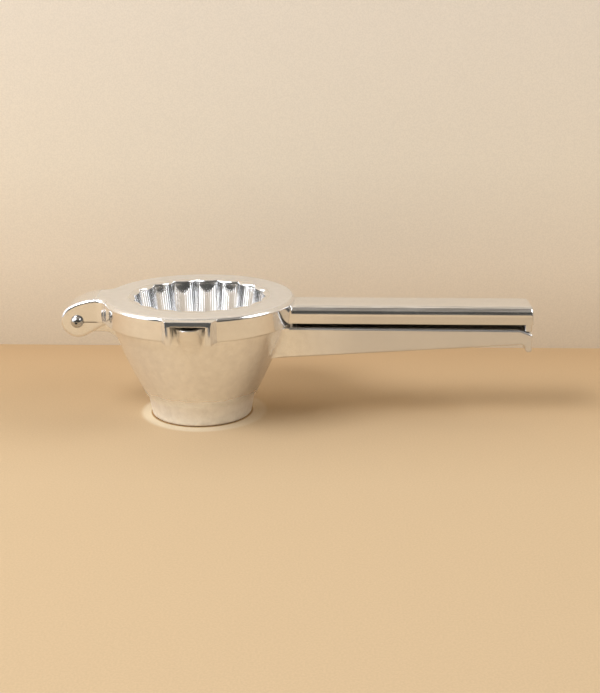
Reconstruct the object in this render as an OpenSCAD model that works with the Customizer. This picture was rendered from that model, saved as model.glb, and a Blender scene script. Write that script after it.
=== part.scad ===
/* [Lid ring] */
// Outer radius of the lid ring
ring_r = 45; // [44.5:0.5:50]
// Thickness of the lid plate
plate_t = 2.8; // [2.4:0.1:3.6]
// Height of the skirt under the plate's top
skirt_h = 11; // [10:0.5:12]
// Thickness of the skirt
skirt_wall = 2; // [1.6:0.1:2.2]
// Radius of the rounded top edge
edge_r = 2; // [1:0.25:2.5]
// Height of the gap between the bowl's rim and the plate
lid_gap = 0.3; // [0.2:0.05:0.6]
// Gap between the bowl's rim and the skirt
rim_gap = 0.8; // [0.7:0.1:1.2]

/* [Bowl] */
// Height of the bowl from table to rim
bowl_h = 54.7; // [52:0.5:60]
// Radius of the foot on the table
foot_r = 24; // [22:0.5:25]
// Height of the foot band
foot_h = 9.5; // [7:0.5:11]
// How much the foot band widens upwards
foot_flare = 1.5; // [0.5:0.25:2]
// Step from the foot band out to the wall
foot_step = 1.1; // [0.5:0.1:2]
// Radius of the wall's outward bow
bow_r = 199; // [120:1:400]
// Height of the straight band under the rim
rim_band_h = 6.4; // [5:0.2:7]
// Thickness of the bowl's wall
bowl_wall = 2.4; // [2:0.1:2.8]
// Thickness of the bowl's floor
bowl_floor = 3; // [2:0.25:4]

/* [Plunger] */
// Number of flutes round the plunger
flutes = 18; // [16:1:20]
// Radius of the hollow at the grooves between its ribs
groove_r = 32.3; // [31:0.1:33]
// Height of a rib inside the hollow
rib_h = 2; // [1.5:0.1:2.2]
// Thickness of the plunger's wall
plunger_wall = 1.8; // [1.5:0.1:2.2]
// Slope of the plunger's side
plunger_slope = 9.5; // [8:0.5:12]
// Depth of the plunger under the plate's top
plunger_depth = 31; // [26:0.5:33]
// Radius of the plunger's lower corner
plunger_corner = 14; // [10:0.5:16]

/* [Strainer] */
// Thickness of the strainer's metal
cup_t = 0.8; // [0.6:0.1:1]
// Gap for juice between strainer and bowl
juice_gap = 1; // [0.8:0.1:1.4]
// Height of the strainer's floor over the table
cup_floor_z = 12; // [11:0.5:14]
// Width of the ledge that carries the strainer
ledge_w = 1.2; // [1:0.1:1.4]
// Diameter of a strainer hole
hole_d = 3; // [2:0.25:3.5]
// Distance between rings of holes in the floor
hole_pitch = 6; // [5:0.5:7]
// Holes in each row round the side
side_holes = 18; // [12:1:22]

/* [Hinge] */
// Distance from the bowl's axis to the rivet
pivot_x = 56.5; // [56:0.25:60]
// Height of the rivet under the plate's top
pivot_drop = 10.8; // [10:0.1:11.5]
// Radius of the hood's round end
ear_r = 7.9; // [7.5:0.1:8.5]
// Width over both ears
ears_w = 20.8; // [19:0.2:24]
// Width of the tongue between the ears
tongue_w = 10.4; // [8:0.2:12]
// Radius of the tongue's round end
knuckle_r = 5; // [4.5:0.1:5.2]
// Gap between tongue and ear
ear_gap = 0.3; // [0.2:0.05:0.5]
// Radius of the fillets between neck and ring
neck_fillet_r = 5; // [3:0.5:7]
// Diameter of the rivet's shank
shank_d = 4.4; // [3.5:0.1:5]
// Diameter of the rivet's heads
head_d = 6; // [5.5:0.1:7]
// Height of the rivet's heads
head_h = 3; // [2:0.1:4]
// Diameter of the small hole in the front head
dimple_d = 1.4; // [1:0.1:2]
// Radial clearance of the rivet in its holes
rivet_clearance = 0.05; // [0.02:0.01:0.1]
// Diameter of the washer under the closed head
washer_d = 9; // [8:0.5:11]
// Thickness of that washer
washer_t = 0.8; // [0.5:0.1:1.2]

/* [Handles] */
// Distance from the bowl's axis to the handles' ends
handle_x = 156; // [140:1:175]
// Width of both handles
handle_w = 22; // [20:0.5:24]
// Step from the plate's top down to the upper handle
handle_step = 2.8; // [2:0.2:3.5]
// Radius along the upper handle's shoulders
shoulder_r = 4; // [3:0.25:5]
// Thickness of the handles' walls
handle_wall = 2.2; // [1.8:0.1:2.6]
// Gap between the handles at the ring
grip_gap = 2.2; // [2:0.1:3]
// Height of the lower handle at the bowl
root_h = 14.6; // [12:0.2:16]
// Height of the lower handle near its end
tip_h = 7; // [6:0.2:9]
// How far the finger hook reaches under the lower handle
hook_drop = 3.6; // [2:0.2:5]

/* [Spout] */
// Width of the opening in the spout frame
frame_gap_w = 15.4; // [15:0.2:17]
// Width of the frame's front
frame_w = 20.6; // [20:0.2:23]
// Width of the frame where it meets the skirt
frame_root_w = 25.6; // [24:0.2:28]
// How far the frame stands out from the ring
frame_out = 4.3; // [3:0.1:5]
// Height of the bar over the spout
bar_h = 2.6; // [2:0.1:3]
// Radius of the spout at its lip
lip_r = 6.3; // [5.5:0.1:6.5]
// How far the lip stands out from the bowl's rim
lip_out = 7.8; // [7:0.1:8.5]
// Thickness of the spout's wall
spout_wall = 1.6; // [1.2:0.1:2]

/* [Hidden] */
$fn = 96;
plate_top = bowl_h + lid_gap + plate_t;
plate_under = bowl_h + lid_gap;
skirt_bottom = plate_top - skirt_h;
skirt_in_r = ring_r - skirt_wall;
rim_r = skirt_in_r - rim_gap;
rim_in_r = rim_r - bowl_wall;
rim_round = 0.6;
cut = 1;

// The bowl's wall is an arc between the foot and the rim band
spring = [foot_r + foot_flare + foot_step, foot_h + 1];
shoulder = [rim_r, bowl_h - rim_band_h];
chord = shoulder - spring;
chord_l = norm(chord);
bow_centre = (spring + shoulder) / 2
    + [-chord[1], chord[0]] / chord_l * sqrt(bow_r * bow_r - chord_l * chord_l / 4);
wall_steps = 12;

// Radius of the bowl's wall at height z, moved inwards by some distance
function wall_r(z, inward = 0) =
    bow_centre[0] + sqrt(pow(bow_r - inward, 2) - pow(z - bow_centre[1], 2));

// Points up the wall from height low to height high
function wall_points(low, high, inward = 0) =
    [for (i = [0 : wall_steps])
        let (z = low + (high - low) * i / wall_steps) [wall_r(z, inward), z]];

// Points of an arc round a centre
function arc(centre, r, from, to, steps = 8) =
    [for (i = [0 : steps])
        let (a = from + (to - from) * i / steps) centre + r * [cos(a), sin(a)]];

// The list in reverse order
function reversed(list) = [for (i = [len(list) - 1 : -1 : 0]) list[i]];

// Strainer
seat_depth = 1.4;
seat_r = rim_in_r + ledge_w;
seat_gap = 0.2;
seat_z = bowl_h - seat_depth;
cup_out = bowl_wall + juice_gap;
cup_top_z = seat_z - 5;
cup_neck_r = rim_in_r - juice_gap;
cup_corner = 5;
cup_floor_r = wall_r(cup_floor_z + cup_corner, cup_out) - cup_corner;
floor_rings = floor((cup_floor_r - hole_d / 2) / hole_pitch);
side_rows = 2;
side_first_z = cup_floor_z + cup_corner + hole_d;
side_row_step = 8;

// Plunger: ribs are round bars leaning with the side
flute_half = 180 / flutes;
rib_crest_r = groove_r - rib_h;
groove_x = groove_r * cos(flute_half);
rib_c = (rib_crest_r * rib_crest_r - groove_r * groove_r)
    / (2 * (rib_crest_r - groove_x));
rib_r = rib_c - rib_crest_r;
flute_r = rib_r - plunger_wall;
ridge_r = groove_r + plunger_wall;
slope_tan = tan(plunger_slope);
plunger_bottom = plate_top - plunger_depth;

// Hinge
pivot_z = plate_top - pivot_drop;
blend_from_x = 46;
blend_dx = pivot_x - blend_from_x;
blend_r = (blend_dx * blend_dx + pivot_drop * pivot_drop - ear_r * ear_r)
    / (2 * (pivot_drop - ear_r));
blend_angle = atan2(blend_r - pivot_drop, -blend_dx);
ear_slope = 29;
fillet_bite = 0.05;
pocket_r = knuckle_r + 0.6;
pocket_w = tongue_w + 2 * ear_gap;
hood_edge_z = pivot_z + 2;
tongue_top = skirt_bottom - 0.4;
tongue_bottom = pivot_z - 6.3;
tongue_fillet_r = 7;
tongue_fillet_end = 20;
tongue_root_x = rim_in_r - 8;
tongue_root_top_x = rim_in_r - 4;
tongue_root_z = tongue_bottom - 5;
tongue_flat = [-pivot_x + 6, -pivot_x + 11.7];
hinge_bore_r = shank_d / 2 + rivet_clearance;

// Handles
handle_top = plate_top - handle_step;
upper_bottom = skirt_bottom;
upper_bottom_end = skirt_bottom - 0.5;
lower_top = skirt_bottom - grip_gap;
lower_top_end = lower_top - 0.5;
root_x = ring_r - 7;
end_round = 2.2;
stop_wall = 4;
stop_z = lower_top_end - 0.5;
notch_l = 6;
notch_drop = 1.8;
tip_x = handle_x - 8;
hook_t = 3;
hook_fillet_r = 2.4;
hook_bevel = 0.8;

// Spout
frame_top = plate_top - 0.6;
frame_front = ring_r + frame_out;
lip_top = bowl_h - 0.6;
lip_front = rim_r + lip_out;
lip_dip = 8;
spout_low_z = bowl_h * 0.72;
spout_low_r = lip_r * 0.73;
spout_top_z = bowl_h + cut;
spout_sink = 0.3;
channel_inset = spout_wall - 0.3;
channel_low_z = spout_low_z + (spout_top_z - spout_low_z) * 0.2;
notch_sill = spout_low_z + (spout_top_z - spout_low_z) * 0.55;
notch_half = lip_r - 1.5 * spout_wall;

// A flat shape drawn in X and Z, made thick along Y about the middle plane
module side_slab(width) {
    translate([0, width / 2, 0])
        rotate([90, 0, 0])
            linear_extrude(width)
                children();
}

// A bar across the hinge, on the rivet's axis
module hinge_bar(r, width) {
    translate([-pivot_x, width / 2, pivot_z])
        rotate([90, 0, 0])
            cylinder(r = r, h = width);
}

// ---- Bowl casting ----

module bowl_outside() {
    rotate_extrude()
        polygon(concat(
            [[0, 0], [foot_r, 0], [foot_r + foot_flare, foot_h]],
            wall_points(spring[1], shoulder[1]),
            arc([rim_r - rim_round, bowl_h - rim_round], rim_round, 0, 90, 4),
            [[0, bowl_h]]));
}

module bowl_inside() {
    well_top = foot_h + 3;
    rotate_extrude()
        polygon(concat(
            [[0, bowl_floor], [wall_r(well_top, bowl_wall) - 3, bowl_floor]],
            wall_points(well_top, shoulder[1] - 5, bowl_wall),
            [[rim_in_r, shoulder[1]], [rim_in_r, seat_z], [seat_r, seat_z],
                [seat_r, bowl_h + cut], [0, bowl_h + cut]]));
}

// A leaning cone that is narrow on the bowl's wall and wide at the lip
module spout_cone(inset) {
    low = [0, -wall_r(spout_low_z) + spout_low_r + spout_sink, spout_low_z];
    high = [0, -lip_front + lip_r, spout_top_z];
    lean = high - low;
    translate(low)
        rotate([atan2(-lean[1], lean[2]), 0, 0])
            cylinder(r1 = spout_low_r - inset, r2 = lip_r - inset, h = norm(lean));
}

module spout_outside() {
    difference() {
        spout_cone(0);
        translate([-lip_r - cut, -lip_front - cut, lip_top])
            cube([2 * (lip_r + cut), 2 * lip_front, bowl_h]);
        translate([-lip_r - cut, -lip_front, lip_top - 1])
            rotate([lip_dip, 0, 0])
                cube([2 * (lip_r + cut), 2 * lip_r, bowl_h]);
    }
}

module spout_channel() {
    intersection() {
        spout_cone(channel_inset);
        translate([-lip_r, -lip_front - cut, channel_low_z])
            cube([2 * lip_r, 2 * lip_r + lip_out, bowl_h]);
    }
    translate([-notch_half, -rim_r, notch_sill])
        cube([2 * notch_half, bowl_wall + cut, bowl_h]);
}

module hinge_tongue() {
    side_slab(tongue_w)
        union() {
            translate([-pivot_x, pivot_z])
                circle(r = knuckle_r);
            polygon(concat(
                [[-pivot_x, pivot_z + knuckle_r],
                    [-pivot_x - knuckle_r * sin(12), pivot_z - knuckle_r * cos(12)],
                    [tongue_flat[0], tongue_bottom]],
                arc([tongue_flat[1], tongue_bottom - tongue_fillet_r], tongue_fillet_r,
                    90, tongue_fillet_end),
                [[-tongue_root_x, tongue_root_z], [-tongue_root_top_x, tongue_top],
                    [-pivot_x + knuckle_r, tongue_top]]));
        }
}

// Side view of the lower handle: straight back, tapering belly and a finger hook
module lower_handle_side() {
    belly_root = lower_top - root_h;
    belly_tip = lower_top_end - tip_h;
    hook_bottom = belly_tip - hook_drop;
    hook_x = handle_x - hook_t;
    polygon(concat(
        [[root_x - 12, lower_top], [root_x - 12, belly_root], [root_x, belly_root]],
        arc([hook_x - hook_fillet_r, belly_tip - hook_fillet_r], hook_fillet_r, 90, 0),
        [[hook_x, hook_bottom + hook_bevel], [hook_x + hook_bevel, hook_bottom],
            [handle_x - hook_bevel, hook_bottom], [handle_x, hook_bottom + hook_bevel],
            [handle_x, lower_top_end - notch_drop - 0.5],
            [handle_x - 0.5, lower_top_end - notch_drop],
            [handle_x - 2, lower_top_end - notch_drop],
            [handle_x - notch_l, lower_top_end]]));
}

module lower_channel() {
    belly_root = lower_top - root_h + handle_wall;
    belly_tip = lower_top_end - tip_h + handle_wall;
    side_slab(handle_w - 2 * handle_wall)
        polygon([[root_x + 6, lower_top + cut], [root_x + 6, belly_root],
            [tip_x, belly_tip], [handle_x - stop_wall, belly_tip + 1],
            [handle_x - stop_wall, lower_top + cut]]);
}

// Plan of a handle, with its end corners rounded
module handle_plan(corner) {
    translate([0, -handle_w / 2])
        square([handle_x - corner, handle_w]);
    translate([0, -handle_w / 2 + corner])
        square([handle_x, handle_w - 2 * corner]);
    for (side = [-1, 1])
        translate([handle_x - corner, side * (handle_w / 2 - corner)])
            circle(r = corner);
}

module lower_handle() {
    intersection() {
        side_slab(handle_w + 2)
            lower_handle_side();
        linear_extrude(bowl_h)
            handle_plan(1.2);
    }
}

module bowl_casting() {
    color("gainsboro")
        difference() {
            union() {
                bowl_outside();
                spout_outside();
                hinge_tongue();
                lower_handle();
            }
            bowl_inside();
            spout_channel();
            lower_channel();
            hinge_bar(hinge_bore_r, ears_w);
        }
}

// ---- Strainer cup ----

module cup_profile() {
    top = cup_top_z;
    inner = cup_out + cup_t;
    corner_z = cup_floor_z + cup_corner;
    floor_out = cup_floor_r;
    polygon(concat(
        [[0, cup_floor_z]],
        arc([floor_out, corner_z], cup_corner, -90, 0, 6),
        wall_points(corner_z + 1, top, cup_out),
        [[cup_neck_r, seat_z], [seat_r - seat_gap, seat_z],
            [seat_r - seat_gap, seat_z + cup_t], [cup_neck_r - cup_t, seat_z + cup_t]],
        reversed(wall_points(corner_z + 1, top, inner)),
        reversed(arc([floor_out, corner_z], cup_corner - cup_t, -90, 0, 6)),
        [[0, cup_floor_z + cup_t]]));
}

module strainer_cup() {
    color("silver")
        difference() {
            rotate_extrude()
                cup_profile();
            translate([0, 0, cup_floor_z - cut])
                cylinder(d = hole_d, h = cup_t + 2 * cut, $fn = 24);
            for (ring = [1 : floor_rings], i = [0 : 6 * ring - 1])
                rotate(i * 60 / ring)
                    translate([ring * hole_pitch, 0, cup_floor_z - cut])
                        cylinder(d = hole_d, h = cup_t + 2 * cut, $fn = 24);
            for (row = [0 : side_rows - 1], i = [0 : side_holes - 1]) {
                z = side_first_z + row * side_row_step;
                rotate((i + row / 2) * 360 / side_holes)
                    translate([wall_r(z, cup_out) - 3, 0, z])
                        rotate([0, 90, 0])
                            cylinder(d = hole_d, h = 6, $fn = 24);
            }
        }
}

// ---- Lever casting ----

module ring_block() {
    rotate_extrude()
        polygon(concat(
            [[0, skirt_bottom], [ring_r, skirt_bottom]],
            arc([ring_r - edge_r, plate_top - edge_r], edge_r, 0, 90),
            [[0, plate_top]]));
}

module under_lid() {
    translate([0, 0, skirt_bottom - skirt_h])
        cylinder(r = skirt_in_r, h = plate_under - skirt_bottom + skirt_h);
}

// Round bars that make the ribs inside the hollow and the flutes outside it
module bars(r) {
    length = 1.6 * plunger_depth;
    for (i = [0 : flutes - 1])
        rotate(i * 360 / flutes + flute_half)
            translate([rib_c, 0, plate_top])
                rotate([0, plunger_slope, 0])
                    translate([0, 0, -length])
                        cylinder(r = r, h = 1.2 * length);
}

// A cup shape with sloping side and round corner, grown from its top radius
module plunger_shape(top_r, bottom, corner, top_z) {
    corner_z = bottom + corner;
    side_r = top_r - (plate_top - corner_z) * slope_tan;
    corner_r = side_r - corner / cos(plunger_slope);
    rotate_extrude()
        polygon(concat(
            [[0, bottom]],
            arc([corner_r, corner_z], corner, -90, -plunger_slope, 10),
            [[top_r + (top_z - plate_top) * slope_tan, top_z], [0, top_z]]));
}

module plunger_body() {
    difference() {
        plunger_shape(ridge_r, plunger_bottom, plunger_corner, plate_under + cut);
        intersection() {
            bars(flute_r);
            cylinder(r = ring_r, h = plate_under);
        }
    }
}

module plunger_hollow() {
    difference() {
        plunger_shape(groove_r, plunger_bottom + plunger_wall + 0.4,
            plunger_corner - plunger_wall, plate_top + cut);
        bars(rib_r);
    }
}

// Side view of the hood and ears over the hinge
module hood_side() {
    tangent = [-pivot_x, pivot_z] + ear_r * [sin(ear_slope), -cos(ear_slope)];
    reach = pivot_x - skirt_in_r + 1;
    translate([-pivot_x, pivot_z])
        circle(r = ear_r);
    polygon(concat(
        [tangent, [-pivot_x, pivot_z]],
        reversed(arc([-blend_from_x, plate_top - blend_r], blend_r, 90, blend_angle)),
        [[-skirt_in_r + 1, plate_top],
            [-skirt_in_r + 1, tangent[1] + (reach - ear_r * sin(ear_slope)) * tan(ear_slope)]]));
}

// Plan of the neck
module neck_plan() {
    translate([-pivot_x - ear_r - cut, -ears_w / 2])
        square([pivot_x + ear_r + cut - ring_r / 2, ears_w]);
}

// Plan of the round fillets between the neck and the ring
module neck_fillets() {
    half = ears_w / 2;
    centre_y = half + neck_fillet_r;
    centre_d = ring_r + neck_fillet_r - fillet_bite;
    centre_x = sqrt(centre_d * centre_d - centre_y * centre_y);
    for (side = [-1, 1]) {
        centre = [-centre_x, side * centre_y];
        difference() {
            polygon([[-centre_x, 0], [-centre_x, side * half],
                centre * (ring_r + 0.5) / centre_d, centre * (ring_r - 1) / centre_d,
                [-ring_r * 0.8, side * half], [-ring_r * 0.8, 0]]);
            translate(centre)
                circle(r = neck_fillet_r);
        }
    }
}

module hood() {
    intersection() {
        side_slab(2 * ring_r)
            hood_side();
        union() {
            linear_extrude(plate_top)
                neck_plan();
            translate([0, 0, skirt_bottom])
                linear_extrude(skirt_h)
                    neck_fillets();
        }
    }
}

// Room for the tongue between the ears, open below and behind
module tongue_pocket() {
    hinge_bar(pocket_r, pocket_w);
    translate([-pivot_x - 2 * ear_r, -pocket_w / 2, pivot_z - 2 * ear_r])
        cube([2 * ear_r, pocket_w, hood_edge_z - pivot_z + 2 * ear_r]);
    translate([-pivot_x - cut, -pocket_w / 2, pivot_z - 2 * ear_r])
        cube([pivot_x - skirt_in_r + 2 * cut, pocket_w, skirt_bottom - pivot_z + 2 * ear_r]);
}

// Cross-section of the upper handle, with round shoulders
module handle_section() {
    half = handle_w / 2;
    flat_h = handle_top - shoulder_r;
    translate([-half, 0])
        square([handle_w, flat_h]);
    translate([-half + shoulder_r, 0])
        square([handle_w - 2 * shoulder_r, handle_top]);
    for (side = [-1, 1])
        translate([side * (half - shoulder_r), flat_h])
            circle(r = shoulder_r);
}

module upper_handle_side() {
    start = ring_r - 4;
    polygon(concat(
        [[start, upper_bottom], [handle_x - 1.25 * stop_wall, upper_bottom_end],
            [handle_x - stop_wall, stop_z], [handle_x - 0.8, stop_z]],
        arc([handle_x - end_round, handle_top - end_round], end_round, 0, 90, 6),
        [[start, handle_top]]));
}

module upper_handle() {
    intersection() {
        rotate([90, 0, 90])
            linear_extrude(handle_x + 1)
                handle_section();
        side_slab(handle_w + 2)
            upper_handle_side();
        linear_extrude(bowl_h + 10)
            handle_plan(1.2);
    }
}

module upper_channel() {
    translate([ring_r + 3, -handle_w / 2 + handle_wall, stop_z - 5])
        cube([handle_x - stop_wall - ring_r - 3, handle_w - 2 * handle_wall,
            handle_top - handle_wall - stop_z + 5]);
}

module spout_frame() {
    linear_extrude(frame_top - skirt_bottom)
        polygon([[-frame_root_w / 2, -skirt_in_r + 2], [-frame_w / 2, -frame_front],
            [frame_w / 2, -frame_front], [frame_root_w / 2, -skirt_in_r + 2]]);
}

module frame_opening() {
    translate([-frame_gap_w / 2, -frame_front - cut, skirt_bottom - cut])
        cube([frame_gap_w, frame_front - skirt_in_r + 5, frame_top - bar_h - skirt_bottom + cut]);
}

module lever_casting() {
    color("lightgray")
        difference() {
            union() {
                difference() {
                    union() {
                        ring_block();
                        hood();
                        upper_handle();
                        translate([0, 0, skirt_bottom])
                            spout_frame();
                    }
                    under_lid();
                    upper_channel();
                    frame_opening();
                    tongue_pocket();
                }
                plunger_body();
            }
            plunger_hollow();
            hinge_bar(hinge_bore_r, 2 * ears_w);
        }
}

// ---- Rivet ----

module rivet_head() {
    round_r = head_d / 2;
    dome_h = min(0.95 * round_r, head_h - 0.1);
    rotate_extrude()
        polygon(concat(
            [[0, 0], [round_r * 0.92, 0]],
            [for (i = [0 : 10])
                let (a = 90 * i / 10)
                    [round_r * cos(a), head_h - dome_h + dome_h * sin(a)]]));
}

module hinge_rivet() {
    face = ears_w / 2;
    color("slategray")
        difference() {
            translate([-pivot_x, 0, pivot_z])
                union() {
                    rotate([90, 0, 0])
                        translate([0, 0, -face - washer_t])
                            cylinder(d = shank_d, h = 2 * face + washer_t);
                    translate([0, -face, 0])
                        rotate([90, 0, 0])
                            rivet_head();
                    translate([0, face + washer_t, 0])
                        rotate([-90, 0, 0])
                            rivet_head();
                }
            translate([-pivot_x, -face - head_h - cut, pivot_z])
                rotate([-90, 0, 0])
                    cylinder(d = dimple_d, h = head_h, $fn = 24);
        }
}

module rivet_washer() {
    color("silver")
        translate([-pivot_x, ears_w / 2 + washer_t, pivot_z])
            rotate([90, 0, 0])
                difference() {
                    cylinder(d = washer_d, h = washer_t);
                    translate([0, 0, -cut])
                        cylinder(r = hinge_bore_r, h = washer_t + 2 * cut);
                }
}

bowl_casting();
strainer_cup();
lever_casting();
hinge_rivet();
rivet_washer();
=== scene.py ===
import math
import bmesh
import bpy
from mathutils import Matrix, Vector


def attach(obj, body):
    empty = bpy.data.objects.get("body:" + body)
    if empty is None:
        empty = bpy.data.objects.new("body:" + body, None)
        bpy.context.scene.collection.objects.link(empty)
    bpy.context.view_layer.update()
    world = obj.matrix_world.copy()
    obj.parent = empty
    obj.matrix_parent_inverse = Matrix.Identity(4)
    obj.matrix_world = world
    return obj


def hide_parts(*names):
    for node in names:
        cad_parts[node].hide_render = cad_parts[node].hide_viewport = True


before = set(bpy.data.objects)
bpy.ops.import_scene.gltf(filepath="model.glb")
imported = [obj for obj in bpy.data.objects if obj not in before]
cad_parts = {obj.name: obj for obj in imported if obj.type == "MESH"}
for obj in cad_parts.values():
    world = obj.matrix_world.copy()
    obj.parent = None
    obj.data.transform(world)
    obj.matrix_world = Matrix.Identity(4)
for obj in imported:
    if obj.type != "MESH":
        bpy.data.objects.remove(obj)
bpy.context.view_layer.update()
mm = 0.001
crisp = {"roundFrom": 30, "sharpFrom": 28, "steps": 5}


# Meshes

def arc(centre, radius, start, end, steps=8):
    # points of an arc, angles in degrees
    span = [math.radians(start + (end - start) * i / steps) for i in range(steps + 1)]
    return [(centre[0] + radius * math.cos(a), centre[1] + radius * math.sin(a)) for a in span]


def wire(bm, points, close=True):
    # a loop of edges through points in millimetres
    verts = [bm.verts.new(Vector(p) * mm) for p in points]
    edges = [bm.edges.new(pair) for pair in zip(verts, verts[1:])]
    if close:
        edges.append(bm.edges.new((verts[-1], verts[0])))
    return verts, edges


def placeMesh(name, bm):
    mesh = bpy.data.meshes.new(name)
    bm.to_mesh(mesh)
    bm.free()
    piece = bpy.data.objects.new(name, mesh)
    bpy.context.scene.collection.objects.link(piece)
    return piece


def finishMesh(name, bm):
    # one closed skin with its faces turned outwards
    bmesh.ops.remove_doubles(bm, verts=bm.verts, dist=1e-6)
    bmesh.ops.recalc_face_normals(bm, faces=bm.faces)
    return placeMesh(name, bm)


def spun(name, profile, steps=192):
    # profile: (radius, height) from axis to axis or a closed loop off the axis
    bm = bmesh.new()
    onAxis = profile[0][0] == 0
    verts, edges = wire(bm, [(r, 0, z) for r, z in profile], close=not onAxis)
    bmesh.ops.spin(bm, geom=verts + edges, cent=(0, 0, 0), axis=(0, 0, 1), angle=2 * math.pi,
                   steps=steps, use_merge=True)
    return finishMesh(name, bm)


def slab(name, points, plane, low, high, rounding=0, roundWhere=None):
    # a flat outline made thick: plane xz is thick along y, xy along z, yz along x.
    # roundWhere picks the edges to round by their two ends
    spot = {"xz": lambda p, t: (p[0], t, p[1]), "xy": lambda p, t: (p[0], p[1], t),
            "yz": lambda p, t: (t, p[0], p[1])}[plane]
    bm = bmesh.new()
    _, edges = wire(bm, [spot(p, low) for p in points])
    face = bmesh.ops.contextual_create(bm, geom=edges)["faces"][0]
    swept = bmesh.ops.extrude_face_region(bm, geom=[face])["geom"]
    shift = Vector(spot((0, 0), high)) - Vector(spot((0, 0), low))
    moved = [v for v in swept if isinstance(v, bmesh.types.BMVert)]
    bmesh.ops.translate(bm, vec=shift * mm, verts=moved)
    bmesh.ops.recalc_face_normals(bm, faces=bm.faces)
    if rounding:
        rim = [e for e in bm.edges if len(e.link_faces) == 2
               and e.calc_face_angle(0) > math.radians(crisp["roundFrom"])
               and roundWhere(e.verts[0].co / mm, e.verts[1].co / mm)]
        bmesh.ops.bevel(bm, geom=rim, offset=rounding * mm, offset_type="OFFSET", affect="EDGES",
                        segments=crisp["steps"], profile=0.5, material=-1, clamp_overlap=False)
    return finishMesh(name, bm)


def combine(piece, other, operation):
    # joins or cuts with another solid, which is then removed
    step = piece.modifiers.new(operation.lower(), "BOOLEAN")
    step.operation = operation
    step.solver = "MANIFOLD"
    step.object = other
    bpy.context.view_layer.update()
    result = piece.evaluated_get(bpy.context.evaluated_depsgraph_get())
    shape = bpy.data.meshes.new_from_object(result)
    piece.modifiers.clear()
    piece.data = shape
    bpy.data.objects.remove(other)


def join(piece, *others):
    for other in others:
        combine(piece, other, "UNION")
    return piece


def carve(piece, *others):
    for other in others:
        combine(piece, other, "DIFFERENCE")
    return piece


def smooth(piece, curved):
    # smooth faces with crisp corners, flat faces kept flat outside the curved places
    piece.data.shade_smooth()
    piece.data.set_sharp_from_angle(angle=math.radians(crisp["sharpFrom"]))
    flat = piece.vertex_groups.new(name="flat")
    flat.add([v.index for v in piece.data.vertices if not curved(v.co / mm)], 1, "REPLACE")
    weighted = piece.modifiers.new("flatFaces", "WEIGHTED_NORMAL")
    weighted.keep_sharp = True
    weighted.weight = 60
    weighted.vertex_group = flat.name


# Sizes shared by the castings, as in the CAD model
ring = {"radius": 45, "top": 57.8, "under": 55.0, "bottom": 46.8, "edge": 2.0, "skirt": 2}
hinge = {"x": -56.5, "z": 47.0, "ear": 7.9, "width": 20.8, "blendX": -46, "blendR": 28.36,
         "bore": 2.25, "slot": 5.5, "slotR": 5.6}
grip = {"end": 156, "width": 22, "top": 55.0, "shoulder": 4.0, "channel": 8.8, "wall": 4,
        "ceiling": 52.8, "endRound": 1.5}

# Materials

class Sock:
    # wraps a socket, so that shader maths reads as plain arithmetic
    def __init__(self, mat, socket):
        self.mat, self.socket = mat, socket

    def maths(self, operation, other):
        return self.mat.add("ShaderNodeMath", {"operation": operation}, [self, other])[0]

    def __add__(self, other): return self.maths("ADD", other)
    def __sub__(self, other): return self.maths("SUBTRACT", other)
    def __mul__(self, other): return self.maths("MULTIPLY", other)
    def __truediv__(self, other): return self.maths("DIVIDE", other)
    def __pow__(self, other): return self.maths("POWER", other)
    def __gt__(self, other): return self.maths("GREATER_THAN", other)
    def __lt__(self, other): return self.maths("LESS_THAN", other)


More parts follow.
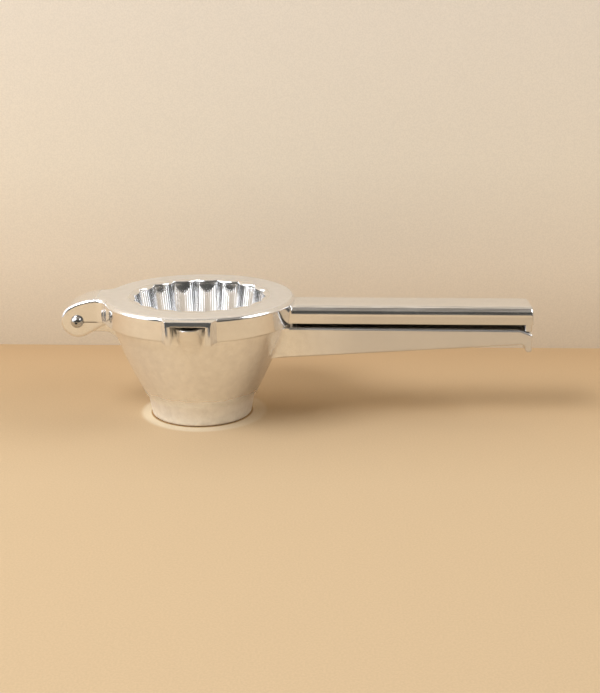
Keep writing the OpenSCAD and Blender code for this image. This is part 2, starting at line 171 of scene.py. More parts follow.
class Finish:
    # a material and the one way of adding nodes to it
    def __init__(self, name):
        self.material = bpy.data.materials.new(name)
        self.material.use_nodes = True
        self.tree = self.material.node_tree
        self.shader = self.tree.nodes["Principled BSDF"]
        self.place = self.add("ShaderNodeTexCoord")["Object"]
        parts = [self.add("ShaderNodeSeparateXYZ", {}, [self.place])[i] for i in range(3)]
        self.x, self.y, self.z = parts

    def add(self, kind, settings=None, inputs=None):
        node = self.tree.nodes.new(kind)
        for key, value in (settings or {}).items():
            if key == "stops":
                ramp = node.color_ramp
                for i, (position, colour) in enumerate(value):
                    stop = ramp.elements[i] if i < 2 else ramp.elements.new(position)
                    stop.position, stop.color = position, colour
            else:
                setattr(node, key, value)
        if inputs is not None:
            pairs = inputs.items() if isinstance(inputs, dict) else enumerate(inputs)
            for key, value in pairs:
                if value is None:
                    continue
                if isinstance(value, Sock):
                    self.tree.links.new(value.socket, node.inputs[key])
                else:
                    node.inputs[key].default_value = value
        return Outs(self, node)

    def noise(self, scale, detail=3.0, rough=0.55, where=None):
        return self.add("ShaderNodeTexNoise", {},
                        {"Vector": where or self.place, "Scale": scale,
                         "Detail": detail, "Roughness": rough})["Fac"]

    def stretched(self, x, y, z):
        # the place scaled along each axis, for noise drawn out into streaks
        return self.add("ShaderNodeMapping", {},
                        {"Vector": self.place, "Scale": (x, y, z)})["Vector"]

    def span(self, value, low, high, outLow=0.0, outHigh=1.0):
        # maps low to high onto outLow to outHigh, softly and held at both ends
        return self.add("ShaderNodeMapRange", {"interpolation_type": "SMOOTHSTEP"},
                        {"Value": value, "From Min": low, "From Max": high,
                         "To Min": outLow, "To Max": outHigh})["Result"]

    def within(self, **ranges):
        # 1 inside a box given in millimetres, as in x=(low, high), and 0 outside
        mask = None
        for axis, (low, high) in ranges.items():
            way = {"x": self.x, "y": self.y, "z": self.z}[axis]
            side = (way > low * mm) * (way < high * mm)
            mask = side if mask is None else mask * side
        return mask

    def blend(self, mask, first, second):
        # colours mixed by a mask
        return self.add("ShaderNodeMix", {"data_type": "RGBA"}, {0: mask, 6: first, 7: second})[2]

    def bump(self, height, strength, distance, under=None):
        return self.add("ShaderNodeBump", {},
                        {"Height": height, "Strength": strength,
                         "Distance": distance, "Normal": under})["Normal"]

    def feed(self, name, value):
        if isinstance(value, Sock):
            self.tree.links.new(value.socket, self.shader.inputs[name])
        else:
            self.shader.inputs[name].default_value = value


class Outs:
    # a node's outputs by name or number
    def __init__(self, mat, node):
        self.mat, self.node = mat, node

    def __getitem__(self, key):
        return Sock(self.mat, self.node.outputs[key])


def dress(piece, finish):
    for slot in piece.material_slots:
        slot.material = finish.material
    if not piece.material_slots:
        piece.data.materials.append(finish.material)


# the flank, seam and inside colours are painted shade, not colours of the metal: on the handles'
# sides, along the ear's parting line, inside the channel and in streaks on the shoulders
castLook = {"colour": (0.885, 0.895, 0.915, 1), "tumbled": (0.97, 0.975, 0.98, 1),
            "darker": (0.70, 0.70, 0.705, 1), "flank": (0.66, 0.67, 0.70, 1),
            "seam": (0.1, 0.085, 0.07, 1), "inside": (0.42, 0.40, 0.37, 1),
            "handleX": 46, "halfChannel": 8.82, "leverChannelEnd": 155.4, "bowlChannelEnd": 152.1,
            "leverMetallic": 0.93, "leverRough": 0.105, "groundRough": 0.23,
            "bowlMetallic": 0.86, "bowlRough": 0.22,
            "sheenScale": (300, 300, 24), "brushedScale": (900, 900, 40),
            "streakScale": (45, 1300, 1300), "flutesTo": 32.6, "plateFrom": 34.2,
            "flankFrom": 38, "flankTo": 80, "shoulderFrom": 7.3485}
# boxes that hold the spout's lip, the painted dark line along the ear's parting line and the
# painted dark streaks on the handle's shoulders
castPlaces = {"lip": {"x": (-7.5, 7.5), "y": (-60, -44), "z": (50, 54.3)},
              "seam": {"x": (-55, -44), "y": (-20, -10.3), "z": (46.5, 46.95)},
              "shoulder": {"x": (46, 160), "z": (51.3, 54.9)}}


def castFinish(name, metallic):
    # a finish with the fine grain and the grime that both castings share
    m = Finish(name)
    m.feed("Metallic", metallic)
    fine = m.noise(420, 3)
    grime = m.noise(38, 2) * 0.4 + m.noise(300, 2) * 0.9 + fine * 0.8 - 0.8
    return m, fine, grime


def castColour(m, polished, channelEnd):
    # painted shade: the handle's sides darkened from the root outwards, and the inside of its
    # channel made dark, where shade falls
    half = castLook["halfChannel"]
    low, high = castLook["flankFrom"] * mm, castLook["flankTo"] * mm
    flank = m.span(m.x, low, high) * m.span(m.z, 51 * mm, 50 * mm) * 0.75
    # painted shade: dark inside the channel between the two handles
    inside = m.within(x=(castLook["handleX"], channelEnd), y=(-half, half), z=(34, 52.9))
    polished = m.blend(flank, polished, castLook["flank"])
    m.feed("Base Color", m.blend(inside, polished, castLook["inside"]))


def castRough(m, rough):
    # a little uneven, a bit under the given value on average
    return m.noise(90, 2) * 0.12 + (rough - 0.045)


def castNormal(m):
    # softened edges, rounder at the spout's lip, over a slight wave
    lip = m.within(**castPlaces["lip"])
    radius = (lip * 0.7 + 0.5) * mm
    soft = m.add("ShaderNodeBevel", {"samples": 6}, {"Radius": radius})["Normal"]
    return m.bump(m.noise(60, 2), 0.06, 0.0006, soft)


def leverFinish():
    # polished, with the plate's top ground dull and the plunger's flutes bright
    m, fine, grime = castFinish("leverMetal", castLook["leverMetallic"])
    polished = m.blend(grime * 0.5, castLook["colour"], castLook["darker"])
    # parting line on the front ear: its small step is not modelled, and the dark it reflects is
    # painted on as a dark line
    seam = m.within(**castPlaces["seam"]) * m.span(m.x, -48.5 * mm, -45.5 * mm, 0.95, 0.0)
    polished = m.blend(seam, polished, castLook["seam"])
    # painted dark reflection in streaks along the handle's shoulders
    shoulderShade = m.span(m.noise(1, 3, 0.6, m.stretched(*castLook["streakScale"])), 0.4, 0.62)
    outer = m.y * m.y > (castLook["shoulderFrom"] * mm) ** 2
    shoulder = m.within(**castPlaces["shoulder"]) * outer
    polished = m.blend(shoulderShade * shoulder * 0.5, polished, castLook["inside"])
    castColour(m, polished, castLook["leverChannelEnd"])
    top = ring["top"]
    ground = m.span(m.z, (top - 0.25) * mm, (top - 0.02) * mm)
    radius = (m.x * m.x + m.y * m.y) ** 0.5
    rough = castRough(m, castLook["leverRough"]) + ground * castLook["groundRough"]
    flutesTo, plateFrom = castLook["flutesTo"] * mm, castLook["plateFrom"] * mm
    m.feed("Roughness", rough * m.span(radius, flutesTo, plateFrom, 0.65, 1.0))
    m.feed("Normal", m.bump(fine, 0.05, 0.0001, castNormal(m)))
    return m


def bowlFinish():
    # only tumbled: hammered satin, brushed upright round the foot, with a painted sheen of soft
    # upright streaks in its colour
    m, _, grime = castFinish("bowlMetal", castLook["bowlMetallic"])
    # painted sheen: soft upright streaks of reflected light mixed into the colour
    sheen = m.noise(1, 3, 0.6, m.stretched(*castLook["sheenScale"])) * 0.5 - 0.25
    tumbled = m.blend(grime * 0.7 + sheen, castLook["tumbled"], castLook["darker"])
    castColour(m, tumbled, castLook["bowlChannelEnd"])
    duller = m.span(m.z, 15 * mm, 9 * mm) * 0.2
    m.feed("Roughness", castRough(m, castLook["bowlRough"]) + duller)
    body = m.span(m.z, 44 * mm, 47 * mm, 1.0, 0.0) * (m.x < 40 * mm)
    brushed = m.noise(1, 2, 0.6, m.stretched(*castLook["brushedScale"]))
    brushed = brushed * m.span(m.z, 8 * mm, 14 * mm, 1.0, 0.25)
    dimple = m.noise(230, 2) + m.noise(700, 2) * 0.5 + brushed * 0.5
    m.feed("Normal", m.bump(dimple * body, 0.16, 0.002, castNormal(m)))
    return m


# Lever casting: lid with skirt and fluted hollow plunger, hood with ears, spout frame and handle

plunger = {"flutes": 18, "groove": 32.3, "rib": 2.0, "slope": 9.5, "bottom": 26.8, "floor": 29.2,
           "corner": 14.0, "wall": 1.8, "lip": 1.2, "lipStep": 15, "perFlute": 22,
           "curvedTo": 34.5}
# numbers on the points of the lid's profile, by the part they belong to
mark = {"plate": 0, "inner": 1, "lip": 2, "below": 50}


def barRadius(phi, z):
    # distance from the axis to the round bar that makes a rib, at an angle from the bar
    half = math.pi / plunger["flutes"]
    groove, crest = plunger["groove"], plunger["groove"] - plunger["rib"]
    centre = (crest ** 2 - groove ** 2) / (2 * (crest - groove * math.cos(half)))
    bar = centre - crest
    centre -= (ring["top"] - z) * math.tan(math.radians(plunger["slope"]))
    inside = bar ** 2 - (centre * math.sin(phi)) ** 2
    if inside <= 0:
        return 1e3
    return centre * math.cos(phi) - math.sqrt(inside)


def cupPoints(topR, bottom, corner, topZ, steps=14, sideSteps=10):
    # inside or outside of the plunger from its middle up to topZ
    slope = math.radians(plunger["slope"])
    cornerZ = bottom + corner
    side = topR - (ring["top"] - cornerZ) * math.tan(slope)
    mid = side - corner / math.cos(slope)
    points = arc((mid, cornerZ), corner, -90, -plunger["slope"], steps)
    last = points[-1]
    end = (topR + (topZ - ring["top"]) * math.tan(slope), topZ)
    for i in range(1, sideSteps + 1):
        t = i / sideSteps
        points.append((last[0] + (end[0] - last[0]) * t, last[1] + (end[1] - last[1]) * t))
    return points


def makeLid():
    p = plunger
    top, lip = ring["top"], p["lip"]
    inner = [(0, p["floor"])]
    inner += cupPoints(p["groove"], p["floor"], p["corner"] - p["wall"], top - lip)
    lipTurns = [math.radians(a) for a in range(p["lipStep"], 91, p["lipStep"])]
    lipPoints = [(p["groove"], top - lip + lip * math.sin(a)) for a in lipTurns]
    plate = [(35.2, top), (37, top), (40, top)]
    outer = arc((ring["radius"] - ring["edge"], top - ring["edge"]), ring["edge"], 90, 0, 8)
    low = ring["bottom"]
    rim, back = ring["radius"], ring["radius"] - ring["skirt"]
    skirt = [(rim, 50), (rim, low + 0.4), (rim - 0.4, low), (back + 0.3, low),
             (back, low + 0.3), (back, 50), (back, ring["under"] - 0.8),
             (back - 0.8, ring["under"]), (36.2, ring["under"])]
    below = cupPoints(p["groove"] + p["wall"], p["bottom"], p["corner"], ring["under"] - 1)
    profile = inner + lipPoints + plate + outer + skirt + below[::-1] + [(0, p["bottom"])]
    steps = p["flutes"] * p["perFlute"]
    bm = bmesh.new()
    part = bm.verts.layers.int.new("part")
    verts, edges = wire(bm, [(r, 0, z) for r, z in profile], close=False)
    lipFrom, lipTo = len(inner), len(inner) + len(lipPoints)
    belowFrom = len(profile) - len(below) - 1
    for i, v in enumerate(verts):
        if i < lipFrom:
            v[part] = mark["inner"]
        elif i < lipTo:
            v[part] = mark["lip"] + i - lipFrom
        else:
            v[part] = mark["below"] if i >= belowFrom else mark["plate"]
    bmesh.ops.spin(bm, geom=verts + edges, cent=(0, 0, 0), axis=(0, 0, 1), angle=2 * math.pi,
                   steps=steps, use_merge=True)
    half = math.pi / p["flutes"]
    for v in bm.verts:
        kind = v[part]
        if kind == mark["plate"]:
            continue
        r, z, turn = math.hypot(v.co.x, v.co.y) / mm, v.co.z / mm, math.atan2(v.co.y, v.co.x)
        if r < 1:
            # the middle of the plunger's end stays as it is
            continue
        # angle from the middle of the nearest rib
        phi = (turn % (2 * half)) - half
        if kind == mark["below"]:
            new = min(r, max(barRadius(phi, z) + p["wall"], r - p["rib"]))
        elif kind == mark["inner"]:
            new = min(r, barRadius(phi, z))
        else:
            a = lipTurns[kind - mark["lip"]]
            new = barRadius(phi, top - lip) + lip * (1 - math.cos(a))
        v.co.x, v.co.y = v.co.x * new / r, v.co.y * new / r
    return finishMesh("leverCasting", bm)


hood = {"edge": 1.7, "slope": 29, "fillet": 5.6, "filletEdge": 1.85}


def hoodSide():
    # outline of the hood and its ears seen from the side
    x, z, r = hinge["x"], hinge["z"], hinge["ear"]
    tilt = math.radians(hood["slope"])
    blendC = (hinge["blendX"], ring["top"] - hinge["blendR"])
    blendEnd = math.degrees(math.atan2(hinge["z"] - blendC[1], x - blendC[0]))
    points = [(-40, ring["top"]), (-43, ring["top"])]
    points += arc(blendC, hinge["blendR"], 90, blendEnd, 12)
    points += arc((x, z), r, blendEnd + 6, 270 + hood["slope"], 26)
    tangent = (x + r * math.sin(tilt), z - r * math.cos(tilt))
    points.append((-40, tangent[1] + (-40 - tangent[0]) * math.tan(tilt)))
    return points


def neckFillet(side):
    # plan of the fillet between the neck and the ring
    half = hinge["width"] / 2
    r = hood["fillet"]
    cy = half + r
    cx = -math.sqrt((ring["radius"] + r) ** 2 - cy ** 2)
    toRing = math.degrees(math.atan2(-cy, -cx))
    points = [(cx - 0.5, half - 0.02)] + arc((cx, cy), r, -90, toRing, 10)
    reach = ring["radius"] - 0.02
    ringTurn = math.atan2(cy, cx) - 0.01
    points.append((reach * math.cos(ringTurn), reach * math.sin(ringTurn)))
    points += [(-39, 15), (-39, 5), (cx - 0.5, 5)]
    return [(px, side * py) for px, py in points]


def box(name, low, high):
    points = [(low[0], low[1]), (high[0], low[1]), (high[0], high[1]), (low[0], high[1])]
    return slab(name, points, "xy", low[2], high[2])


def sideEdge(a, b):
    # an edge that lies along one of the two sides facing y
    return abs(a.y - b.y) < 0.01


def underLid():
    # the room under the plate, which the parts joined to the lid mustn't fill
    return spun("underLid", [(35.5, 30), (43, 30), (43, 54.2), (42.2, 55), (35.5, 55)])


def hingeBore(radius=hinge["bore"], half=20):
    # a round cutter along the hinge's axis
    circle = arc((hinge["x"], hinge["z"]), radius, 0, 360, 48)[:-1]
    return slab("bore", circle, "xz", -half, half)


def handleSection():
    half, top, r = grip["width"] / 2, grip["top"], grip["shoulder"]
    return ([(-half, ring["bottom"]), (half, ring["bottom"])]
            + arc((half - r, top - r), r, 0, 90, 10)
            + arc((-half + r, top - r), r, 90, 180, 10))


endStop = {"bottom": 43.6, "top": 48, "half": 10.9, "r": 2, "bevel": 0.5, "lipHalf": 8.4,
           "lipZ": 42.5}


def upperHandle():
    end, s = grip["end"], endStop
    bar = slab("upperHandle", handleSection(), "yz", 41, end, grip["endRound"],
               lambda a, b: a.x > end - 0.01 and b.x > end - 0.01 and min(a.z, b.z) > 47)
    half, flat = s["half"], s["half"] - s["bevel"]
    corner = arc((end - s["r"], s["r"] - half), s["r"], 180, 270, 6)
    plan = corner + [(end - 1, -half), (end - 0.5, -flat), (end - 0.5, flat), (end - 1, half)]
    plan += [(x, -y) for x, y in corner[::-1]]
    block = slab("endStop", plan, "xy", s["bottom"], s["top"])
    lip = box("stopLip", (end - 2, -s["lipHalf"], s["lipZ"]), (end - 0.7, s["lipHalf"], 45))
    return join(bar, block, lip)


crease = {"deep": 1.3, "height": 10.0, "fadeZ": 56.2, "topTurn": 37, "widen": 12,
          "halfNeck": 12}


def creaseCut(side):
    # shallow hollow in the skirt beside the handle, deepest at its lower edge
    c, rings = crease, []
    for i in range(11):
        z = ring["bottom"] - 0.3 + c["height"] * i / 10
        t = (c["fadeZ"] - z) / (c["fadeZ"] - ring["bottom"])
        r = ring["radius"] + 0.05 - c["deep"] * max(0, t)
        turn = math.radians(c["topTurn"] - c["widen"] * t)
        x0 = math.sqrt(r ** 2 - c["halfNeck"] ** 2)
        last = math.asin(c["halfNeck"] / r)
        points = [(47 * math.cos(turn), 47 * math.sin(turn))]
        points += arc((0, 0), r, math.degrees(turn), math.degrees(last), 6)
        points += arc((x0 + 1, c["halfNeck"]), 1, 200, 270, 5)
        points += [(47.5, 11), (48, 14)]
        rings.append([(px, side * py, z) for px, py in points])
    return ringLoft("crease", rings)


spoutGuard = {"rootHalf": 13, "rootY": -41, "half": 9.9, "front": -49.3, "top": 57.2,
              "slopeFrom": (-49.4, 55.0), "slopeTo": (-48.35, 57.25),
              "mouth": ((-7.7, -52, 40), (7.7, -38, 55.2))}


def spoutFrame():
    s = spoutGuard
    half, root = s["half"], s["rootHalf"]
    plan = [(-root, s["rootY"]), (-half, s["front"]), (half, s["front"]), (root, s["rootY"])]
    (lowY, lowZ), (highY, highZ) = s["slopeFrom"], s["slopeTo"]
    front = [(lowY, lowZ), (highY, highZ), (highY, 60), (-53, 60), (-53, lowZ)]
    slope = slab("slope", front, "yz", -14, 14)
    return carve(slab("spoutFrame", plan, "xy", ring["bottom"], s["top"]), slope)


def makeLever():
    print("Stage: lever casting")
    lid = makeLid()
    half = hinge["width"] / 2
    addOns = [slab("hood", hoodSide(), "xz", -half, half, hood["edge"], sideEdge)]
    for side in (-1, 1):
        addOns.append(slab("fillet", neckFillet(side), "xy", ring["bottom"], ring["top"],
                           hood["filletEdge"], lambda a, b: a.z > 57 and b.z > 57))
    addOns += [upperHandle(), spoutFrame()]
    for piece in addOns:
        carve(piece, underLid())
    lever = join(lid, *addOns)
    end, half = grip["end"] - grip["wall"], grip["channel"]
    channel = box("channel", (48, -half, 40), (end, half, grip["ceiling"]))
    opening = box("opening", *spoutGuard["mouth"])
    slot = hinge["slot"]
    pocket = hingeBore(hinge["slotR"], slot)
    behind = box("behind", (-75, -slot, 30), (hinge["x"], slot, 49))
    below = box("below", (-58, -slot, 30), (-42.9, slot, ring["bottom"]))
    carve(lever, channel, opening, pocket, behind, below, hingeBore(), creaseCut(-1), creaseCut(1))
    smooth(lever, lambda p: math.hypot(p.x, p.y) < plunger["curvedTo"])
    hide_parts("lever_casting")
    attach(lever, "lever")
    dress(lever, leverFinish())


# Bowl casting: bowl with foot, spout, tongue and lower handle

bowl = {"height": 54.7, "foot": 24, "footEdge": 1.0, "spring": (26.6, 10.5),
        "shoulder": (42.2, 48.3), "bow": 199, "wall": 2.4, "floor": 3, "well": (19.5, 21.5, 4.2),
        "wallFrom": 12.5, "wallTo": 43.3, "mouth": 39.8, "ledge": 53.3, "seat": 41.0,
        "band": [(25.2, 7.6), (25.45, 8.8), (25.9, 9.9)], "wallLow": 10.9, "rimEdge": 0.6}


def wallR(z, inward=0.0):
    # radius of the bowl's bowed wall at a height
    (x1, z1), (x2, z2) = bowl["spring"], bowl["shoulder"]
    chord = math.hypot(x2 - x1, z2 - z1)
    rise = math.sqrt(bowl["bow"] ** 2 - chord ** 2 / 4)
    cx = (x1 + x2) / 2 - (z2 - z1) / chord * rise
    cz = (z1 + z2) / 2 + (x2 - x1) / chord * rise
    return cx + math.sqrt((bowl["bow"] - inward) ** 2 - (z - cz) ** 2)


def wallPoints(low, high, inward=0.0, steps=16):
    return [(wallR(low + (high - low) * i / steps, inward), low + (high - low) * i / steps)
            for i in range(steps + 1)]


def hollowPoints():
    # inside of the bowl from the middle of its floor up to the strainer's ledge
    b = bowl
    wellR, wellOut, wellZ = b["well"]
    return ([(0, b["floor"]), (wellR, b["floor"]), (wellOut, wellZ)]
            + wallPoints(b["wallFrom"], b["wallTo"], b["wall"])
            + [(b["mouth"], b["shoulder"][1]), (b["mouth"], b["ledge"])])


def makeBowlBody():
    b = bowl
    seat, top, rimR, footR = b["seat"], b["height"], b["rimEdge"], b["footEdge"]
    wideR, wideZ = b["shoulder"]
    outside = ([(0, 0)] + arc((b["foot"] - footR, footR), footR, -90, -5, 5) + b["band"]
               + wallPoints(b["wallLow"], wideZ) + [(wideR, 50)]
               + arc((wideR - rimR, top - rimR), rimR, 0, 90, 4))
    inside = [(seat + 0.2, top), (seat, top - 0.2), (seat, b["ledge"])] + hollowPoints()[::-1]
    return spun("bowlCasting", outside + inside, 256)


def ringLoft(name, rings):
    # closed rings of points in millimetres, bridged one after another and capped
    bm = bmesh.new()
    loops = [wire(bm, points) for points in rings]
    for (_, lower), (_, upper) in zip(loops, loops[1:]):
        bmesh.ops.bridge_loops(bm, edges=lower + upper)
    for _, edges in (loops[0], loops[-1]):
        bmesh.ops.contextual_create(bm, geom=edges)
    return finishMesh(name, bm)


spout = {"half": 7.9, "lowHalf": 5.0, "top": 54.1, "lowZ": 40.0, "lip": 6.3,
         "front": 50.0, "coreLowZ": 39.4, "coreLowR": 4.6, "wall": 2.0, "dipSlope": 8,
         "nose": 0.84, "nosePower": 2.6, "flareFrom": 0.7,
         "wedge": [(6.5, 54.2), (10, 50.9), (10, 60), (6.5, 60)], "fullAt": 0.96,
         "outPower": 1.4, "sunk": 0.15, "root": 2.0, "channelFrom": 42.7,
         "sill": ((-3.9, -42.2, 48.4), (3.9, -39.3, 60))}


def beakRing(t, steps=36):
    # plan of the beak at a share of its height: a rounded nose that flares into the wall
    z = spout["lowZ"] + (spout["top"] + 0.6 - spout["lowZ"]) * t
    wall = wallR(min(z, bowl["shoulder"][1]))
    wide, power, flare = spout["nose"], spout["nosePower"], spout["flareFrom"]
    half = spout["lowHalf"] + (spout["half"] - spout["lowHalf"]) * t
    out = (spout["front"] - wall) * min(1, t / spout["fullAt"]) ** spout["outPower"]
    points = []
    for i in range(steps + 1):
        x = -half + 2 * half * i / steps
        u = abs(x) / half
        if u < flare:
            nose = math.sqrt(1 - (u / wide) ** power)
        else:
            # from the nose's own height and slope down to the wall
            start = math.sqrt(1 - (flare / wide) ** power)
            slope = -power / 2 / wide * (flare / wide) ** (power - 1) / start
            v = (u - flare) / (1 - flare)
            nose = start * (1 - v) ** 2 * (1 + 2 * v) + slope * (1 - flare) * v * (1 - v) ** 2
        depth = math.sqrt(wall ** 2 - x ** 2)
        points.append((x, -depth + spout["sunk"] - out * nose, z))
    inner = wall - spout["root"]
    points += [(half, -inner, z), (-half, -inner, z)]
    return points


def makeSpout():
    # the beak with its level rim, its dip towards the lip and its sloping shoulders
    beak = ringLoft("beak", [beakRing(i / 12) for i in range(13)])
    low = spout["top"] - 1
    back = low + 12 * math.tan(math.radians(spout["dipSlope"]))
    dip = slab("dip", [(-50, low), (-38, back), (-38, 70), (-50, 70)], "yz", -12, 12)
    cuts = [box("trim", (-12, -56, spout["top"]), (12, -20, 70)), dip]
    for side in (-1, 1):
        wedge = [(side * x, z) for x, z in spout["wedge"]]
        cuts.append(slab("shoulderCut", wedge, "xz", -56, -42.4))
    return carve(beak, *cuts)


def coreRing(t, steps=40):
    # round section of the leaning channel behind the lip
    wall = wallR(spout["coreLowZ"])
    lowY = -wall + spout["coreLowR"] + 0.3
    highZ = bowl["height"] + 1
    highY = -spout["front"] + spout["lip"]
    r = spout["coreLowR"] + (spout["lip"] - spout["coreLowR"]) * t - spout["wall"]
    y, z = lowY + (highY - lowY) * t, spout["coreLowZ"] + (highZ - spout["coreLowZ"]) * t
    lean = math.atan2(highY - lowY, highZ - spout["coreLowZ"])
    points = []
    for i in range(steps):
        a = 2 * math.pi * i / steps
        u, v = r * math.cos(a), r * math.sin(a)
        points.append((u, y + v * math.cos(lean), z - v * math.sin(lean)))
    return points


def spoutCut():
    core = ringLoft("core", [coreRing(t) for t in (0, 0.5, 1.1)])
    return carve(core, box("coreEnd", (-12, -60, 20), (12, -20, spout["channelFrom"])))


tongue = {"width": 10.4, "knuckle": 5.0, "top": 46.4, "bottom": 40.7, "throat": 7, "edge": 0.6,
          "roundTo": -41, "root": [(-31.8, 35.7), (-35.8, 46.4)]}


def makeTongue():
    x, z, k = hinge["x"], hinge["z"], tongue["knuckle"]
    side = arc((x, z), k, 60, 258, 20) + [(x + 6, tongue["bottom"])]
    r = tongue["throat"]
    side += arc((x + 11.7, tongue["bottom"] - r), r, 90, 20, 8)
    side += tongue["root"] + [(x + 5, tongue["top"])]
    half = tongue["width"] / 2
    return slab("tongue", side, "xz", -half, half, tongue["edge"],
                lambda a, b: sideEdge(a, b) and max(a.x, b.x) < tongue["roundTo"])


lowerGrip = {"rootZ": 30.0, "tipZ": 37.1, "hookZ": 33.5, "hookT": 3.0, "hookR": 2.2, "top": 44.6,
             "topEnd": 44.1, "notchL": 6, "notch": 1.8, "round": 0.8, "cornerR": 4.0, "tipR": 1.25,
             "web": 2.2}


def makeLowerHandle():
    g, end = lowerGrip, grip["end"]
    hookX, r, low = end - g["hookT"], g["tipR"], g["hookZ"]
    side = ([(26, g["top"]), (26, g["rootZ"]), (38, g["rootZ"])]
            + arc((hookX - g["hookR"], g["tipZ"] - g["hookR"]), g["hookR"], 90, 0, 8)
            + arc((hookX + r, low + r), r, 180, 270, 4)
            + arc((end - r, low + r), r, 270, 360, 4)
            + arc((end - 1, g["topEnd"] - g["notch"] - 1), 1, 0, 90, 4)
            + [(end - g["notchL"], g["topEnd"])])
    half = grip["width"] / 2
    return slab("lowerHandle", side, "xz", -half, half, g["round"], sideEdge)


def cornerFillet(side):
    # upright fillet between the bowl's wall and the lower handle's side
    g = lowerGrip
    rings = []
    for i in range(13):
        z = g["rootZ"] + (g["top"] - g["rootZ"]) * i / 12
        r, wall = g["cornerR"], wallR(z)
        cy = grip["width"] / 2 + r
        cx = math.sqrt((wall + r) ** 2 - cy ** 2)
        turn = math.atan2(cy, cx)
        points = arc((cx, cy), r, 180 + math.degrees(turn), 270, 8)
        points += [(cx + 0.3, 10.98), (cx + 0.3, 8), (wall - 4, 8),
                   (wall * math.cos(turn) - 3, wall * math.sin(turn) - 0.4)]
        rings.append([(px, side * py, z) for px, py in points])
    return ringLoft("cornerFillet", rings)


def onWall(p):
    # on or inside the bowl's curved wall, away from the handle
    return 10 < p.z < 48 and p.x < 30 and math.hypot(p.x, p.y) < wallR(p.z) + 0.1


def makeBowl():
    print("Stage: bowl casting")
    body = makeBowlBody()
    seat = bowl["seat"]
    core = spun("core", hollowPoints() + [(seat, bowl["ledge"]), (seat, 60), (0, 60)], 256)
    addOns = join(makeLowerHandle(), cornerFillet(-1), cornerFillet(1))
    addOns = join(addOns, makeTongue(), makeSpout())
    carve(addOns, core)
    casting = join(body, addOns)
    g, end = lowerGrip, grip["end"] - grip["wall"]
    trough = [(44, 60), (44, g["rootZ"] + g["web"]), (148, g["tipZ"] + g["web"]),
              (end, g["tipZ"] + g["web"] + 1), (end, 60)]
    channel = slab("channel", trough, "xz", -grip["channel"], grip["channel"])
    carve(casting, channel, spoutCut(), box("sill", *spout["sill"]), hingeBore())
    smooth(casting, onWall)
    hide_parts("bowl_casting")
    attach(casting, "bowl")
    dress(casting, bowlFinish())


makeLever()
makeBowl()

# Strainer, rivet and washer keep their CAD shapes: name of the finish, colour, roughness, scale

smallParts = {"strainer_cup": ("strainerMetal", (0.74, 0.74, 0.73, 1), 0.28, 150),
              "hinge_rivet": ("rivetSteel", (0.56, 0.56, 0.57, 1), 0.2, 300),
              "rivet_washer": ("washerSteel", (0.6, 0.6, 0.6, 1), 0.25, 300)}


def plainMetal(name, colour, rough, scale):
    # steel or sheet, slightly clouded
    m = Finish(name)
    m.feed("Metallic", 1.0)
    cloud = m.span(m.noise(scale, 3), 0.35, 0.7)
    m.feed("Base Color", m.blend(cloud * 0.4, colour, tuple(c * 0.8 for c in colour[:3]) + (1,)))
    m.feed("Roughness", m.span(m.noise(scale * 2.5, 3), 0.3, 0.7, rough - 0.05, rough + 0.08))
    m.feed("Normal", m.bump(m.noise(scale * 6, 2), 0.08, 0.0001))
    return m


print("Stage: strainer, rivet and washer")
for node, look in smallParts.items():
    dress(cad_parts[node], plainMetal(*look))

# Floor, backdrop, lamps and camera

# the floor's colour darkens towards the wall and the wall's colour is darkest at its foot: painted
# shade where they meet, with the wall painted lightest about a tenth of a metre up; glow is a
# painted pool of light round the bowl and contact a painted shadow under its foot
studio = {"floor": [(-0.09, (0.575, 0.435, 0.275, 1)), (0.1, (0.51, 0.348, 0.195, 1))],
          "wall": [(0.0, (0.69, 0.595, 0.465, 1)), (0.05, (0.82, 0.73, 0.60, 1)),
                   (0.105, (0.85, 0.78, 0.66, 1)), (0.19, (0.82, 0.76, 0.67, 1))],
          "flag": (0.03, 0.033, 0.03, 1), "contact": (0.36, 0.22, 0.1, 1),
          "glow": (0.66, 0.545, 0.38, 1), "glowEdge": (31.5, 28.5), "contactEdge": (25.0, 24.3),
          "aim": (0, 0, 0.04), "bright": (-0.9, 0.2, 0.3),
          "air": ((0.3, (0.29, 0.255, 0.21, 1)), (0.8, (0.9, 0.91, 0.93, 1)))}
# y, z and half size of the two upright cards, and place, size and power of the lamps
cards = {"wall": (0.111, 1.5, (3, 1.5)), "flag": (-1.1, 0.55, (1.6, 0.42))}
lamps = {"left": ((-0.85, -0.12, 0.5), (0.8, 0.7), 2.9),
         "front": ((-0.62, -0.5, 0.95), (0.6, 0.45), 9.4),
         "right": ((0.85, -0.1, 0.6), (0.5, 0.5), 4.0)}


def plainSurface(name, shades, along, glow=None):
    # paper whose colour changes softly along one coordinate, which on the floor and the wall is
    # painted shade
    m = Finish(name)
    first, last = shades[0][0], shades[-1][0]
    way = (m.x, m.y, m.z)[along]
    stops = [((at - first) / (last - first), colour) for at, colour in shades]
    tone = m.add("ShaderNodeValToRGB", {"stops": stops}, [(way - first) / (last - first)])["Color"]
    if glow:
        # painted light that the bowl throws onto the paper, and a painted contact shadow: the dark
        # line under its foot
        out = ((m.x - 1 * mm) ** 2 + m.y ** 2) ** 0.5
        far, near = studio["glowEdge"]
        pool = m.span(out, far * mm, near * mm) * m.span(m.x, -20 * mm, 40 * mm, 1.0, 0.4)
        tone = m.blend(pool, tone, glow)
        foot = (m.x * m.x + m.y * m.y) ** 0.5
        far, near = studio["contactEdge"]
        tone = m.blend(m.span(foot, far * mm, near * mm), tone, studio["contact"])
    grain = m.span(m.noise(1300, 2), 0.3, 0.7)
    m.feed("Base Color", m.blend(grain * 0.07, tone, studio["flag"]))
    m.feed("Roughness", 0.9)
    m.feed("Specular IOR Level", 0.1)
    return m


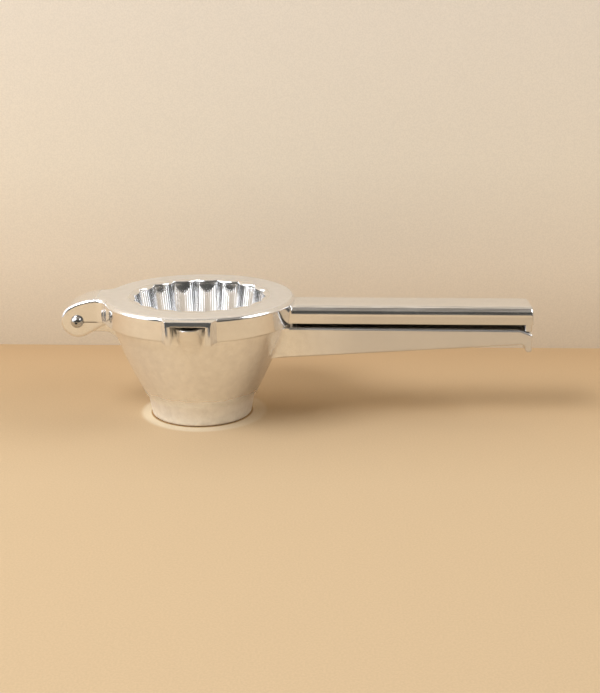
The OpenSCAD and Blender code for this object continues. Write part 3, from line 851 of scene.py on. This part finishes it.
def oneSided(m):
    # seen from in front only, so that the object shows from behind too
    back = m.add("ShaderNodeNewGeometry")["Backfacing"]
    clear = m.add("ShaderNodeBsdfTransparent")[0]
    mixed = m.add("ShaderNodeMixShader", {}, [back, Sock(m, m.shader.outputs[0]), clear])[0]
    m.tree.links.new(mixed.socket, m.tree.nodes["Material Output"].inputs[0])
    return m


def upright(name, y, z, size, facing=1):
    # a card that stands across the view, facing the camera or turned away from it
    bm = bmesh.new()
    bmesh.ops.create_grid(bm, x_segments=1, y_segments=1, size=1)
    bmesh.ops.scale(bm, vec=(size[0], size[1], 1), verts=bm.verts)
    turn = Matrix.Rotation(math.radians(90 * facing), 3, "X")
    bmesh.ops.rotate(bm, cent=(0, 0, 0), matrix=turn, verts=bm.verts)
    bmesh.ops.translate(bm, vec=(0, y, z), verts=bm.verts)
    card = placeMesh(name, bm)
    return card


def makeStage():
    bm = bmesh.new()
    bmesh.ops.create_grid(bm, x_segments=1, y_segments=1, size=3)
    floor = finishMesh("floor", bm)
    dress(floor, plainSurface("floorPaper", studio["floor"], 1, studio["glow"]))
    wall = upright("wall", *cards["wall"])
    dress(wall, oneSided(plainSurface("wallPaper", studio["wall"], 2)))
    flag = upright("flag", *cards["flag"], -1)
    flag.visible_camera = flag.visible_diffuse = flag.visible_shadow = False
    dress(flag, oneSided(plainSurface("flagCloth", [(0, studio["flag"]), (1, studio["flag"])], 2)))


def makeLamp(name, place, size, power):
    light = bpy.data.lights.new(name, "AREA")
    light.shape = "RECTANGLE"
    light.size, light.size_y = size
    light.energy = power
    holder = bpy.data.objects.new(name, light)
    holder.location = place
    way = Vector(studio["aim"]) - Vector(place)
    holder.rotation_euler = way.to_track_quat("-Z", "Y").to_euler()
    holder.visible_camera = False
    bpy.context.scene.collection.objects.link(holder)


view = {"lens": 59.51, "place": (0.0606, -0.5253, 0.1870), "down": 16.384, "turn": 1.429}


def makeCamera():
    lens = bpy.data.cameras.new("camera")
    lens.lens, lens.sensor_width, lens.sensor_fit = view["lens"], 36, "AUTO"
    camera = bpy.data.objects.new("camera", lens)
    camera.location = view["place"]
    camera.rotation_euler = (math.radians(90 - view["down"]), 0, math.radians(view["turn"]))
    bpy.context.scene.collection.objects.link(camera)
    bpy.context.scene.camera = camera


def makeAir():
    # a dim room, lighter overhead and towards the left
    world = bpy.data.worlds.new("studioAir")
    bpy.context.scene.world = world
    world.use_nodes = True
    tree = world.node_tree
    way = tree.nodes.new("ShaderNodeTexCoord")
    turned = tree.nodes.new("ShaderNodeVectorMath")
    turned.operation = "DOT_PRODUCT"
    turned.inputs[1].default_value = studio["bright"]
    ramp = tree.nodes.new("ShaderNodeValToRGB")
    for stop, (position, colour) in zip(ramp.color_ramp.elements, studio["air"]):
        stop.position, stop.color = position, colour
    tree.links.new(way.outputs["Generated"], turned.inputs[0])
    tree.links.new(turned.outputs["Value"], ramp.inputs[0])
    tree.links.new(ramp.outputs[0], tree.nodes["Background"].inputs[0])


print("Stage: studio")
makeStage()
for name, look in lamps.items():
    makeLamp(name, *look)
makeAir()
bpy.context.scene.view_settings.view_transform = "Standard"
makeCamera()
